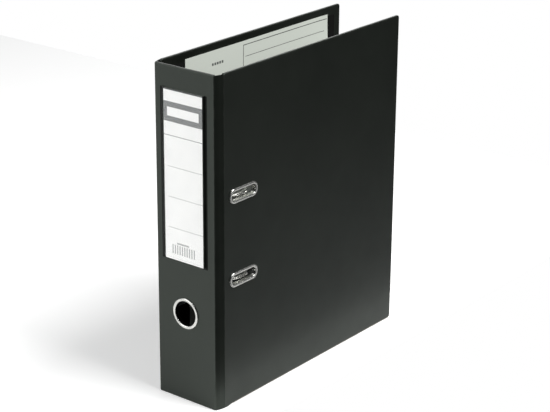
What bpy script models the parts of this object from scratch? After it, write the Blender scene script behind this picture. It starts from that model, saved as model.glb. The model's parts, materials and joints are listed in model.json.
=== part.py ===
"""Lever arch ring binder for A4 paper, standing upright on its lower edges.

Frame of the design: X runs through the thickness (back cover at -X, front cover at +X),
Y runs from the spine's outer face into the file, Z runs up from the standing edge.
The root empty shifts this frame so that the world origin is the bottom centre.
"""

import math

import bmesh
import bpy
from mathutils import Vector

# ---- driving dimensions, in metres ------------------------------------------------
GAP = 0.0003                      # clearance between neighbouring pieces
HEIGHT = 0.318
DEPTH = 0.272
WIDTH = 0.074                     # outer face of back cover to outer face of front cover
WALL = 0.0028                     # thickness of a covered board
FILM = 0.0003                     # plastic film and paper lining
TURN_IN = 0.014                   # film folded over the inner edge
CORNER = 0.0022                   # corner radius of the covers
STRIP_X = 0.003                   # hinge strip, legs of its slope
STRIP_Y = 0.009
STRIP_THICK = 0.0008
SPINE_CENTRE = -0.0009            # pocket and finger ring sit slightly off the middle

HOLE_SPACING = 0.080              # ISO 838 filing holes
HOLE_INSET = 0.012                # hole centre to paper edge
MECH_Z = 0.1598                   # middle of the mechanism
SLOT_Z = 0.163                    # middle between the two cover slots
SLOT_Y = 0.0361
ARCH_Y = 0.0368                   # middle of the arches, from the spine's face
ARCH_HALF = 0.015                 # half width of an arch
ARCH_TOP_H = 0.0653               # middle of the wire at the top of an arch
ARCH_BENDS = (0.009, 0.015)       # bend radii of an arch, post side and spine side
WIRE_R = 0.0017
YOKE_Y = 0.033                    # pivot line of the arch wire
YOKE_H = 0.005
LEG_KNEE_H = 0.014
LEG_BENDS = (0.005, 0.004)
CRANK = 0.006
CRANK_HALF = 0.006
CRANK_BEND = 0.0028

SLOT_HALF = (0.0167, 0.0044)      # clear opening of the eyelet, half sizes
SLOT_CORNER = 0.0040
EYELET_WALL = 0.0005
EYELET_FLANGE = 0.0026
TRIM_STEP = 0.0008                # how far metal trim stands off the film
RING_Z = 0.0872
RING_IN = 0.0119
RING_OUT = 0.0148

POCKET = (0.0536, 0.161)          # width, height
POCKET_Z = 0.1365
POCKET_OUT = 0.0014
POCKET_WELD = 0.0007
LABEL = (0.0445, 0.1583)

PLATE_Y = (0.020, 0.0605)
PLATE_HALF = 0.083
PLATE_THICK = 0.0012
PLATE_CORNER = 0.005
POST_R = 0.0024
POST_TOP = 0.036
RIVET_Y = (0.0250, 0.0555)
RIVET_HALF = 0.072
RIVET_R = 0.0016
RIVET_HEAD = 0.0038
SHEET_METAL = 0.001
LEVER_Y = 0.0287
LEVER_H = 0.019
LEVER_IN = 0.009                  # half width inside the lever's channel
LEVER_START = 0.003               # pivot to the near end of the channel
LEVER_RISE = 0.0345
LEVER_LEAN = 0.0222               # how far the handle leans towards the spine
LEVER_SAG = 0.003
LEVER_WEB = 0.004                 # channel's back from its middle line
LEVER_RIM = (0.0042, 0.0012)      # channel's edges from its middle line, near and far end
LEVER_TAPER = 0.002
EAR_R = (0.0044, 0.0030)          # round ends of the lever's ears, pivot and roller
EAR_OVERLAP = 0.0001
SIDE_PLAY = 0.0006                # between the lever and each cheek of its bracket
CHEEK_Y = (0.0215, 0.0390)
CHEEK_R = 0.0045
CHEEK_FRONT = 0.004               # cheek's low end above the arch wire's pivot line
PIN_R = 0.0015
PIN_HEAD = 0.0026
AXLE_R = 0.0010
AXLE_HEAD = 0.0018
AXLE_HEAD_THICK = 0.0001
AXLE_HALF = LEVER_IN + SHEET_METAL + 0.0004
ROLLER_R = 0.0032
ROLLER_PLAY = 0.0008
SADDLE_REACH = 0.0061
SADDLE_HALF = 0.004
SADDLE_Z = 0.026                  # saddles from the middle of the mechanism
PAPER = (0.210, 0.297)
PAPER_HOLE = 0.003
PAPER_BOTTOM = 0.0143
PAPER_H = 0.0028
BAR_H = 0.0036
BAR_HALF_Y = 0.0068
BAR_END = 0.012                   # bar beyond each post
BAR_CORNER = 0.004
FAR = 0.03                        # cutters run this far past what they cut

INNER_X = -WIDTH / 2 + WALL       # inner face of the back cover, where heights h start
POST_Y = ARCH_Y + ARCH_HALF
BACK_FOLD_1 = Vector((-WIDTH / 2, STRIP_Y, 0))
BACK_FOLD_2 = Vector((-WIDTH / 2 + STRIP_X, 0, 0))
FRONT_FOLD_1 = Vector((WIDTH / 2 - STRIP_X, 0, 0))
FRONT_FOLD_2 = Vector((WIDTH / 2, STRIP_Y, 0))
SHIFT = Vector((0, -(DEPTH - POCKET_OUT) / 2, 0))
MIDDLES = {"upper": 1, "lower": -1}


# ---- shared helpers ---------------------------------------------------------------
def clear_scene():
    for obj in list(bpy.data.objects):
        bpy.data.objects.remove(obj, do_unlink=True)


def material(name, colour, roughness, metallic=0.0):
    mat = bpy.data.materials.new(name)
    mat.use_nodes = True
    shader = mat.node_tree.nodes["Principled BSDF"]
    shader.inputs["Base Color"].default_value = (*colour, 1)
    shader.inputs["Roughness"].default_value = roughness
    shader.inputs["Metallic"].default_value = metallic
    mat.diffuse_color = (*colour, 1)
    return mat


def empty(name, at, parent=None):
    obj = bpy.data.objects.new(name, None)
    bpy.context.collection.objects.link(obj)
    obj.parent = parent
    obj["design_origin"] = at
    origin = Vector(parent["design_origin"]) if parent else Vector()
    obj.location = Vector(at) - origin if parent else Vector(at) + SHIFT
    return obj


def place(name, mesh, mat, parent, at=(0, 0, 0), smooth=40):
    """Link a mesh whose own origin belongs at the design point `at`."""
    if not mesh.materials:
        mesh.name = name
        mesh.materials.append(mat)
        mesh.shade_smooth()
        mesh.set_sharp_from_angle(angle=math.radians(smooth))
    obj = bpy.data.objects.new(name, mesh)
    bpy.context.collection.objects.link(obj)
    obj.parent = parent
    obj.location = Vector(at) - Vector(parent["design_origin"])
    return obj


def cutter(name, mesh, parent, at=(0, 0, 0)):
    mesh.name = name
    obj = bpy.data.objects.new(name, mesh)
    bpy.context.collection.objects.link(obj)
    obj.parent = parent
    obj.location = Vector(at) - Vector(parent["design_origin"])
    obj.hide_render = True
    obj.display_type = "WIRE"
    return obj


def boolean(obj, tool, operation="DIFFERENCE"):
    mod = obj.modifiers.new(operation.title(), "BOOLEAN")
    mod.operation = operation
    mod.object = tool
    mod.solver = "EXACT"


def loft(loops, closed=False):
    """Closed mesh through loops of equally many points; capped unless it closes on itself."""
    bm = bmesh.new()
    rings = [[bm.verts.new(point) for point in loop] for loop in loops]
    count = len(rings[0])
    last = len(rings) if closed else len(rings) - 1
    for index in range(last):
        low = rings[index]
        high = rings[(index + 1) % len(rings)]
        for side in range(count):
            following = (side + 1) % count
            bm.faces.new((low[side], low[following], high[following], high[side]))
    if not closed:
        bm.faces.new(rings[0])
        bm.faces.new(rings[-1])
    return finish_mesh(bm)


def finish_mesh(bm):
    bmesh.ops.recalc_face_normals(bm, faces=bm.faces)
    mesh = bpy.data.meshes.new("mesh")
    bm.to_mesh(mesh)
    bm.free()
    return mesh


def arc(centre, radius, start, end, steps):
    """Points on an arc in the plane, angles in degrees."""
    points = []
    for index in range(steps + 1):
        angle = math.radians(start + (end - start) * index / steps)
        points.append((centre[0] + radius * math.cos(angle), centre[1] + radius * math.sin(angle)))
    return points


def rounded(half_u, half_v, radius, steps=4, centre=(0, 0)):
    """Outline of a rounded rectangle, counter-clockwise."""
    points = []
    for sign_u, sign_v, start in ((1, 1, 0), (-1, 1, 90), (-1, -1, 180), (1, -1, 270)):
        middle = (centre[0] + sign_u * (half_u - radius), centre[1] + sign_v * (half_v - radius))
        points += arc(middle, radius, start, start + 90, steps)
    return points


def on_cover(outline, x):
    return [Vector((x, y, z)) for y, z in outline]


def on_spine(outline, y):
    return [Vector((x, y, z)) for x, z in outline]


def side_view(outline, z):
    """Outline in (y, h) of the mechanism, at a height z along its length."""
    return [Vector((h, y, z)) for y, h in outline]


def prism(outline, plane, low, high):
    return loft([plane(outline, low), plane(outline, high)])


def turned(profile, plane, centre, sides=24):
    """Solid of revolution from (radius, level) pairs; the ends are capped."""
    loops = []
    for radius, level in profile:
        circle = arc(centre, radius, 0, 360 - 360 / sides, sides - 1)
        loops.append(plane(circle, level))
    return loft(loops)


def tube_ring(profile, plane, outline_of):
    """Ring-shaped solid whose cross-section is the closed `profile` of (offset, level)."""
    return loft([plane(outline_of(offset), level) for offset, level in profile], closed=True)


def flange_profile(out_level, in_level, barrel, flange):
    """Rolled metal trim clamped on both sides of a board; offsets grow outwards."""
    sign = 1 if out_level > in_level else -1
    top = out_level + sign * (GAP + TRIM_STEP)
    foot = in_level - sign * (GAP + TRIM_STEP * 0.6)
    half = TRIM_STEP * 0.5
    inner_flange = flange * 0.8
    return [
        (0, in_level),
        (0, out_level),
        (half * 0.4, top - sign * half * 0.7),
        (half * 1.2, top),
        (flange - half * 1.2, top),
        (flange, top - sign * half),
        (flange, out_level + sign * GAP),
        (barrel, out_level + sign * GAP),
        (barrel, in_level - sign * GAP),
        (inner_flange, in_level - sign * GAP),
        (inner_flange, foot),
        (half, foot),
    ]


# ---- materials --------------------------------------------------------------------
def make_materials():
    return {
        "film": material("black_film", (0.035, 0.038, 0.034), 0.45),
        "board": material("grey_board", (0.36, 0.33, 0.29), 0.9),
        "lining": material("black_lining", (0.02, 0.02, 0.019), 0.7),
        "nickel": material("nickel_plate", (0.72, 0.71, 0.68), 0.25, 1.0),
        "steel": material("bright_steel", (0.62, 0.63, 0.64), 0.3, 1.0),
        "plastic": material("clear_pocket", (0.10, 0.10, 0.10), 0.15),
        "card": material("white_card", (0.9, 0.9, 0.88), 0.7),
        "paper": material("grey_paper", (0.6, 0.62, 0.57), 0.8),
        "roller": material("roller_plastic", (0.8, 0.8, 0.77), 0.5),
    }


# ---- covered boards ---------------------------------------------------------------
def film_profile():
    """(inset, depth) from the outer face round the edge to the inside of the turn-in."""
    soft = WALL * 0.18
    return [
        (soft, 0),
        (soft * 0.3, soft * 0.3),
        (0, soft),
        (0, WALL - soft),
        (soft * 0.3, WALL - soft * 0.3),
        (soft, WALL),
        (TURN_IN, WALL),
        (TURN_IN, WALL - FILM),
        (FILM, WALL - FILM),
        (FILM, FILM),
    ]


def covered_board(prefix, centre, half, plane, outer, inward, mats, parent):
    """Board wrapped in film, with a lining between the turned-in edges."""

    def outline(inset):
        radius = max(CORNER - inset, CORNER * 0.25)
        return rounded(half[0] - inset, half[1] - inset, radius, 3, centre)

    loops = [plane(outline(inset), outer + inward * depth) for inset, depth in film_profile()]
    film = place(prefix + "_film", loft(loops), mats["film"], parent)
    edge = FILM + GAP
    board_levels = (outer + inward * edge, outer + inward * (WALL - edge))
    board = place(prefix + "_board", prism(outline(edge), plane, *board_levels), mats["board"], parent)
    lining_levels = (outer + inward * (WALL - FILM), outer + inward * WALL)
    lining_mesh = prism(outline(TURN_IN + GAP), plane, *lining_levels)
    lining = place(prefix + "_lining", lining_mesh, mats["lining"], parent)
    return [film, board, lining]


def cut_all(objects, tool):
    for obj in objects:
        boolean(obj, tool)


def cover_outline():
    half = ((DEPTH - STRIP_Y) / 2, HEIGHT / 2)
    centre = (STRIP_Y + half[0], half[1])
    return centre, half


def slot_outline(offset, middle):
    half_y = SLOT_HALF[0] + offset
    half_z = SLOT_HALF[1] + offset
    return rounded(half_y, half_z, SLOT_CORNER + offset, 6, (SLOT_Y, middle))


def front_cover(mats, parent):
    centre, half = cover_outline()
    outer = WIDTH / 2
    layers = covered_board("front_cover", centre, half, on_cover, outer, -1, mats, parent)
    clearance = EYELET_WALL + GAP
    for side, sign in MIDDLES.items():
        middle = SLOT_Z + sign * HOLE_SPACING / 2
        hole = prism(slot_outline(clearance, middle), on_cover, outer - 2 * WALL, outer + WALL)
        cut_all(layers, cutter("slot_cutter_" + side, hole, parent))
        profile = flange_profile(outer, outer - WALL, EYELET_WALL, EYELET_FLANGE)
        ring = tube_ring(profile, on_cover, lambda offset, m=middle: slot_outline(offset, m))
        place("slot_eyelet_" + side, ring, mats["nickel"], parent)


def rivet_points():
    for y in RIVET_Y:
        for sign in MIDDLES.values():
            yield y, MECH_Z + sign * RIVET_HALF


def merged(meshes):
    """One mesh holding several separate solids."""
    bm = bmesh.new()
    for mesh in meshes:
        bm.from_mesh(mesh)
    return finish_mesh(bm)


def rivet_cutter(parent):
    radius = RIVET_R + GAP
    low = -WIDTH / 2 - WALL
    high = INNER_X + 2 * WALL
    shanks = []
    for point in rivet_points():
        shanks.append(turned([(radius, low), (radius, high)], on_cover, point, 16))
    return cutter("rivet_cutter", merged(shanks), parent)


def back_cover(mats, parent):
    centre, half = cover_outline()
    layers = covered_board("back_cover", centre, half, on_cover, -WIDTH / 2, 1, mats, parent)
    tool = rivet_cutter(parent)
    cut_all(layers, tool)
    return tool


def spine(mats, parent):
    half = (WIDTH / 2 - STRIP_X, HEIGHT / 2)
    layers = covered_board("spine", (0, half[1]), half, on_spine, 0, 1, mats, parent)
    middle = (SPINE_CENTRE, RING_Z)
    radius = RING_IN + EYELET_WALL + GAP
    hole = turned([(radius, -WALL), (radius, 2 * WALL)], on_spine, middle, 40)
    cut_all(layers, cutter("finger_cutter", hole, parent))

    def circle(offset):
        return arc(middle, RING_IN + offset, 0, 360 - 360 / 40, 39)

    profile = flange_profile(0, WALL, EYELET_WALL, RING_OUT - RING_IN)
    place("finger_ring", tube_ring(profile, on_spine, circle), mats["nickel"], parent)


def hinge_strip(name, spine_fold, cover_fold, mat, parent):
    """Strip of bare film between two fold lines, mitred to clear the spine's edge."""
    along = (cover_fold - spine_fold).normalized()
    inward = Vector((-along.y, along.x, 0))
    if inward.x * spine_fold.x > 0:
        inward.negate()
    inward *= STRIP_THICK
    margin = along * GAP * 1.5
    mitre = along * STRIP_THICK * 4.4
    corners = [spine_fold + margin, cover_fold - margin]
    corners += [cover_fold - margin * 1.8 + inward, spine_fold + mitre + inward]
    levels = (CORNER * 0.5, HEIGHT - CORNER * 0.5)
    origin = Vector(parent["design_origin"])
    mesh = loft([[corner - origin + Vector((0, 0, z)) for corner in corners] for z in levels])
    place(name, mesh, mat, parent, origin)


# ---- spine label ------------------------------------------------------------------
def label_pocket(mats, parent):
    """Clear pocket, open at the top and towards the spine."""
    half = (POCKET[0] / 2, POCKET[1] / 2)
    centre = (SPINE_CENTRE, POCKET_Z + half[1])
    shell = prism(rounded(*half, FILM * 3, 3, centre), on_spine, -POCKET_OUT, -GAP)
    pocket = place("label_pocket", shell, mats["plastic"], parent)
    middle = (centre[0], centre[1] + POCKET_WELD)
    inner = rounded(half[0] - POCKET_WELD, half[1], FILM, 2, middle)
    hollow = prism(inner, on_spine, -POCKET_OUT + FILM, GAP)
    boolean(pocket, cutter("pocket_cutter", hollow, parent))


def spine_label(mats, parent):
    half = (LABEL[0] / 2, LABEL[1] / 2)
    centre = (SPINE_CENTRE, POCKET_Z + 0.001 + half[1])
    mesh = prism(rounded(*half, GAP, 2, centre), on_spine, -3 * GAP, -2 * GAP)
    place("spine_label", mesh, mats["card"], parent)


# ---- mechanism, fixed pieces ------------------------------------------------------
def base_plate(mats, parent, rivet_tool):
    middle_y = sum(PLATE_Y) / 2
    half = ((PLATE_Y[1] - PLATE_Y[0]) / 2, PLATE_HALF)
    soft = PLATE_THICK * 0.25
    bottom = INNER_X + GAP
    loops = []
    for inset, level in ((0, 0), (0, PLATE_THICK - soft), (soft, PLATE_THICK)):
        outline = rounded(half[0] - inset, half[1] - inset, PLATE_CORNER, 5, (middle_y, MECH_Z))
        loops.append(on_cover(outline, bottom + level))
    plate = place("base_plate", loft(loops), mats["steel"], parent)
    boolean(plate, rivet_tool)


def base_rivets(mats, parent):
    """Four rivets through the back cover and the base plate, sharing one mesh."""
    outside = -WIDTH / 2
    plate_top = INNER_X + GAP + PLATE_THICK
    head = RIVET_HEAD
    profile = [
        (head * 0.6, outside - GAP - TRIM_STEP),
        (head * 0.9, outside - GAP - TRIM_STEP * 0.7),
        (head, outside - GAP),
        (RIVET_R, outside - GAP),
        (RIVET_R, plate_top + GAP),
        (head * 0.75, plate_top + GAP),
        (head * 0.6, plate_top + GAP + TRIM_STEP * 0.7),
    ]
    mesh = turned(profile, on_cover, (0, 0), 20)
    for number, (y, z) in enumerate(rivet_points(), 1):
        place(f"base_rivet_{number}", mesh, mats["steel"], parent, (0, y, z))


def mech_level():
    """Height above the back cover's inner face on which parts stand on the base plate."""
    return PLATE_THICK + 2 * GAP


def lever_bracket(mats, parent):
    """Folded U of sheet metal, cheeks pierced for the lever's pin and the arch wire."""
    inside = LEVER_IN + SHEET_METAL + SIDE_PLAY
    outside = inside + SHEET_METAL
    floor = mech_level()
    cheek = arc((LEVER_Y, LEVER_H), CHEEK_R, 25, 155, 8)
    cheek += [(y, floor) for y in CHEEK_Y] + [(CHEEK_Y[1], YOKE_H + CHEEK_FRONT)]
    at = (INNER_X, 0, MECH_Z)
    blank = prism(cheek, side_view, -outside, outside)
    bracket = place("lever_bracket", blank, mats["steel"], parent, at)
    low = floor + SHEET_METAL * 0.8
    room = [(0, low), (2 * FAR, low), (2 * FAR, FAR), (0, FAR)]
    boolean(bracket, cutter("bracket_room", prism(room, side_view, -inside, inside), parent, at))
    for name, point, radius in (
        ("pin_hole", (LEVER_Y, LEVER_H), PIN_R + GAP),
        ("wire_hole", (YOKE_Y, YOKE_H), WIRE_R + GAP),
    ):
        drill = turned([(radius, -FAR), (radius, FAR)], side_view, point, 16)
        boolean(bracket, cutter("bracket_" + name, drill, parent, at))


def headed_pin(radius, head, length, head_thick):
    """Profile of a pin from its middle out to a flat head at each end."""
    return [
        (head * 0.7, -length - head_thick),
        (head, -length - head_thick * 0.6),
        (head, -length),
        (radius, -length),
        (radius, length),
        (head, length),
        (head, length + head_thick * 0.6),
        (head * 0.7, length + head_thick),
    ]


def lever_pivot_pin(mats, parent):
    reach = LEVER_IN + 2 * SHEET_METAL + SIDE_PLAY + GAP
    profile = headed_pin(PIN_R, PIN_HEAD, reach, SHEET_METAL)
    mesh = turned(profile, side_view, (0, 0), 20)
    place("lever_pivot_pin", mesh, mats["steel"], parent, (INNER_X + LEVER_H, LEVER_Y, MECH_Z))


def yoke_saddle(side, sign, mats, parent):
    """Bridge-shaped clip that holds the arch wire down on the base plate."""
    inner = WIRE_R + GAP
    outer = inner + SHEET_METAL
    floor = mech_level()
    foot = floor + SHEET_METAL
    reach = SADDLE_REACH
    outline = [(YOKE_Y - reach, floor), (YOKE_Y - inner, floor), (YOKE_Y - inner, YOKE_H)]
    outline += arc((YOKE_Y, YOKE_H), inner, 150, 30, 6)
    outline += [(YOKE_Y + inner, YOKE_H), (YOKE_Y + inner, floor), (YOKE_Y + reach, floor)]
    outline += [(YOKE_Y + reach, foot), (YOKE_Y + outer, foot), (YOKE_Y + outer, YOKE_H)]
    outline += arc((YOKE_Y, YOKE_H), outer, 30, 150, 6)
    outline += [(YOKE_Y - outer, YOKE_H), (YOKE_Y - outer, foot), (YOKE_Y - reach, foot)]
    mesh = prism(outline, side_view, -SADDLE_HALF, SADDLE_HALF)
    at = (INNER_X, 0, MECH_Z + sign * SADDLE_Z)
    place("yoke_saddle_" + side, mesh, mats["steel"], parent, at)


def post(side, sign, mats, parent):
    """Filing post: a round tube with a shallow well in its top."""
    floor = mech_level()
    soft = POST_R * 0.25
    profile = [
        (POST_R, floor),
        (POST_R, POST_TOP - soft),
        (POST_R - soft * 0.3, POST_TOP - soft * 0.3),
        (POST_R - soft, POST_TOP),
        (WIRE_R * 0.75, POST_TOP),
        (WIRE_R * 0.75, POST_TOP - 4 * POST_R),
    ]
    mesh = turned(profile, on_cover, (0, 0), 20)
    at = (INNER_X, POST_Y, MECH_Z + sign * HOLE_SPACING / 2)
    place("post_" + side, mesh, mats["nickel"], parent, at)


# ---- mechanism, moving pieces -----------------------------------------------------
def filleted(points, radii, steps=8):
    """Polyline with each inner corner rounded by an arc of the given radius."""
    path = [points[0]]
    for index in range(1, len(points) - 1):
        corner = points[index]
        before = (points[index - 1] - corner).normalized()
        after = (points[index + 1] - corner).normalized()
        half_angle = before.angle(after) / 2
        setback = radii[index - 1] / math.tan(half_angle)
        centre = corner + (before + after).normalized() * radii[index - 1] / math.sin(half_angle)
        start = (corner + before * setback - centre).normalized()
        end = (corner + after * setback - centre).normalized()
        for step in range(steps + 1):
            path.append(centre + start.slerp(end, step / steps) * radii[index - 1])
    path.append(points[-1])
    return path


def swept(path, radius, sides=10):
    """Round wire along a path, with a frame carried along it without twisting."""
    loops = []
    tangent = (path[1] - path[0]).normalized()
    normal = tangent.orthogonal().normalized()
    for index, point in enumerate(path):
        before = path[max(index - 1, 0)]
        after = path[min(index + 1, len(path) - 1)]
        direction = (after - before).normalized()
        normal.rotate(tangent.rotation_difference(direction))
        tangent = direction
        side = tangent.cross(normal)
        loop = []
        for step in range(sides):
            angle = math.tau * step / sides
            loop.append(point + (normal * math.cos(angle) + side * math.sin(angle)) * radius)
        loops.append(loop)
    return loft(loops)


def yoke_half():
    """Wire of the upper half, in (h, y, z) from the pivot line, arch end first."""
    top = HOLE_SPACING / 2
    rise = ARCH_TOP_H - YOKE_H
    post_side = ARCH_Y - YOKE_Y + ARCH_HALF
    spine_side = ARCH_Y - YOKE_Y - ARCH_HALF
    points = [
        Vector((POST_TOP + GAP - YOKE_H, post_side, top)),
        Vector((rise, post_side, top)),
        Vector((rise, spine_side, top)),
        Vector((LEG_KNEE_H - YOKE_H, spine_side, top)),
        Vector((0, 0, top)),
        Vector((0, 0, CRANK_HALF)),
        Vector((CRANK, 0, CRANK_HALF)),
        Vector((CRANK, 0, 0)),
    ]
    radii = (*ARCH_BENDS, *LEG_BENDS, CRANK_BEND, CRANK_BEND)
    return filleted(points, radii)[:-1]


def arch_yoke(mats, parent):
    """One bent wire: two arches joined by a run along the pivot line with a crank."""
    upper = yoke_half()
    lower = [Vector((p.x, p.y, -p.z)) for p in reversed(upper)]
    at = (INNER_X + YOKE_H, YOKE_Y, MECH_Z)
    place("arch_yoke", swept(upper + lower, WIRE_R), mats["nickel"], parent, at)


def lever_path():
    """Middle line of the closed lever's channel from the pivot, in (y, h)."""
    points = []
    steps = 10
    for index in range(steps + 1):
        along = index / steps
        rise = LEVER_START + LEVER_RISE * along - LEVER_SAG * along ** 2
        points.append((-LEVER_LEAN * along ** 1.5, rise))
    return points


def lever(mats, parent):
    """U-shaped channel with two ears for the pivot pin and the roller axle."""
    path = lever_path()
    loops = []
    outside = LEVER_IN + SHEET_METAL
    for index, point in enumerate(path):
        before = Vector(path[max(index - 1, 0)])
        after = Vector(path[min(index + 1, len(path) - 1)])
        along = (after - before).normalized()
        back = Vector((-along.y, along.x))
        taper = index / (len(path) - 1)
        depth = LEVER_RIM[0] + (LEVER_RIM[1] - LEVER_RIM[0]) * taper
        half = outside - LEVER_TAPER * taper
        web = Vector(point) + back * LEVER_WEB
        web_in = web - back * SHEET_METAL
        rim = Vector(point) - back * depth + back * SHEET_METAL * taper
        thin = half - SHEET_METAL
        section = [(web, -half), (web, half), (rim, half), (rim, thin)]
        section += [(web_in, thin), (web_in, -thin), (rim, -thin), (rim, -half)]
        loops.append([Vector((p.y, p.x, z)) for p, z in section])
    at = (INNER_X + LEVER_H, LEVER_Y, MECH_Z)
    channel = place("lever", loft(loops), mats["nickel"], parent, at)
    axle = roller_offset()
    ear = arc((0, 0), EAR_R[0], 0, 180, 10) + arc(axle, EAR_R[1], 190, 350, 10)
    for sign in MIDDLES.values():
        near = sign * (LEVER_IN - EAR_OVERLAP)
        far = sign * (outside + EAR_OVERLAP)
        blank = prism(ear, side_view, near, far)
        boolean(channel, cutter("lever_ear", blank, parent, at), "UNION")
    for point, radius in (((0, 0), PIN_R + GAP), (axle, AXLE_R + GAP)):
        drill = turned([(radius, -FAR), (radius, FAR)], side_view, point, 16)
        boolean(channel, cutter("lever_drill", drill, parent, at))


def roller_offset():
    """Roller centre from the lever's pivot: it rests against the arch wire's crank."""
    y = YOKE_Y - WIRE_R - ROLLER_R - GAP - LEVER_Y
    return (y, YOKE_H + CRANK - LEVER_H)


def roller(mats, parent):
    offset = roller_offset()
    at = (INNER_X + LEVER_H + offset[1], LEVER_Y + offset[0], MECH_Z)
    half = LEVER_IN - ROLLER_PLAY
    bore = AXLE_R + GAP

    def circle(radius):
        return arc((0, 0), radius, 0, 345, 23)

    profile = [(bore, -half), (bore, half), (ROLLER_R - GAP, half)]
    profile += [(ROLLER_R, half - GAP), (ROLLER_R, -half + GAP), (ROLLER_R - GAP, -half)]
    place("lever_roller", tube_ring(profile, side_view, circle), mats["roller"], parent, at)
    pin = headed_pin(AXLE_R, AXLE_HEAD, AXLE_HALF, AXLE_HEAD_THICK)
    place("roller_axle", turned(pin, side_view, (0, 0), 16), mats["steel"], parent, at)


def compressor_bar(mats, parent):
    """Flat bar that slides on the two posts and holds the paper down."""
    half = (BAR_HALF_Y, HOLE_SPACING / 2 + BAR_END)
    at = (INNER_X + BAR_H, POST_Y, MECH_Z)
    flat = prism(rounded(*half, BAR_CORNER, 5), on_cover, 0, SHEET_METAL)
    bar = place("compressor_bar", flat, mats["steel"], parent, at)
    for name, sign in MIDDLES.items():
        middle = (0, sign * HOLE_SPACING / 2)
        radius = POST_R + 2 * GAP
        drill = turned([(radius, -FAR), (radius, FAR)], on_cover, middle, 20)
        boolean(bar, cutter("bar_drill_" + name, drill, parent, at))


# ---- paper ------------------------------------------------------------------------
def index_sheet(mats, parent):
    left = POST_Y - HOLE_INSET
    half = (PAPER[0] / 2, PAPER[1] / 2)
    centre = (left + half[0], PAPER_BOTTOM + half[1])
    low = INNER_X + PAPER_H
    sheet = prism(rounded(*half, FILM, 1, centre), on_cover, low, low + GAP)
    obj = place("index_sheet", sheet, mats["paper"], parent)
    for name, sign in MIDDLES.items():
        middle = (POST_Y, MECH_Z + sign * HOLE_SPACING / 2)
        levels = (low - FAR, low + FAR)
        drill = turned([(PAPER_HOLE, level) for level in levels], on_cover, middle, 20)
        boolean(obj, cutter("paper_drill_" + name, drill, parent))


# ---- assembly ---------------------------------------------------------------------
def main():
    clear_scene()
    mats = make_materials()
    root = empty("binder", (0, 0, 0))
    back_axis = empty("back_cover_axis", (0, 0, 0), root)
    back_strip_axis = empty("back_strip_axis", BACK_FOLD_1, back_axis)
    spine_axis = empty("spine_axis", BACK_FOLD_2, back_strip_axis)
    front_strip_axis = empty("front_strip_axis", FRONT_FOLD_1, spine_axis)
    front_axis = empty("front_cover_axis", FRONT_FOLD_2, front_strip_axis)
    yoke_axis = empty("yoke_axis", (INNER_X + YOKE_H, YOKE_Y, MECH_Z), back_axis)
    lever_axis = empty("lever_axis", (INNER_X + LEVER_H, LEVER_Y, MECH_Z), back_axis)

    rivet_tool = back_cover(mats, back_axis)
    hinge_strip("back_hinge_strip", BACK_FOLD_2, BACK_FOLD_1, mats["film"], back_strip_axis)
    spine(mats, spine_axis)
    hinge_strip("front_hinge_strip", FRONT_FOLD_1, FRONT_FOLD_2, mats["film"], front_strip_axis)
    front_cover(mats, front_axis)
    label_pocket(mats, spine_axis)
    spine_label(mats, spine_axis)

    base_plate(mats, back_axis, rivet_tool)
    base_rivets(mats, back_axis)
    lever_bracket(mats, back_axis)
    lever_pivot_pin(mats, back_axis)
    for side, sign in MIDDLES.items():
        yoke_saddle(side, sign, mats, back_axis)
        post(side, sign, mats, back_axis)
    arch_yoke(mats, yoke_axis)
    lever(mats, lever_axis)
    roller(mats, lever_axis)
    compressor_bar(mats, back_axis)
    index_sheet(mats, back_axis)


main()
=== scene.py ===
"""Looks of the lever arch binder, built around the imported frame.

Row frame: +X from the back cover to the front cover, +Y from the spine to the fore-edge,
+Z up, metres. Every size comes from the frame's nodes or from the named values below.
"""

import json
import math

import bmesh
import bpy
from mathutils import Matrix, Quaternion, Vector, noise

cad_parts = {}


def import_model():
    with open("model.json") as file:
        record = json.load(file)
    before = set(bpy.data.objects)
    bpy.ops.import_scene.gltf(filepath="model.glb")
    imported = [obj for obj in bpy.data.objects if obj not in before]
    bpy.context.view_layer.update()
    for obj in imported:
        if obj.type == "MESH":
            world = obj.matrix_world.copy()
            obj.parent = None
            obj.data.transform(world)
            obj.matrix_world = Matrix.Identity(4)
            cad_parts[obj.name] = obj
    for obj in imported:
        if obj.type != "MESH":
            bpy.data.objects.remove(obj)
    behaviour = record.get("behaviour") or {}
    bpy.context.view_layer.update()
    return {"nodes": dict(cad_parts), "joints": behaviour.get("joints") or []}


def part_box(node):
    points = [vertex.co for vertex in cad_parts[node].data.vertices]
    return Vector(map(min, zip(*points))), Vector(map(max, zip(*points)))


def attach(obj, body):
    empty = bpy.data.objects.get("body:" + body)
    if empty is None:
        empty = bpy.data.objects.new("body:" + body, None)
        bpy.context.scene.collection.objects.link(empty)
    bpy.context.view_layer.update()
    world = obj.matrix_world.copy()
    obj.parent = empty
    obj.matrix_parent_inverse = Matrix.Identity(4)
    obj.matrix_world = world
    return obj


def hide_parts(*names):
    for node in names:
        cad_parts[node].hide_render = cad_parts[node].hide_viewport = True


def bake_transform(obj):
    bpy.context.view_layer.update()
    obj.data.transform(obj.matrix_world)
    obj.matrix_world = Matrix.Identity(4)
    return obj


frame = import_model()
NODES = frame["nodes"]
MM = 0.001

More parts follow.
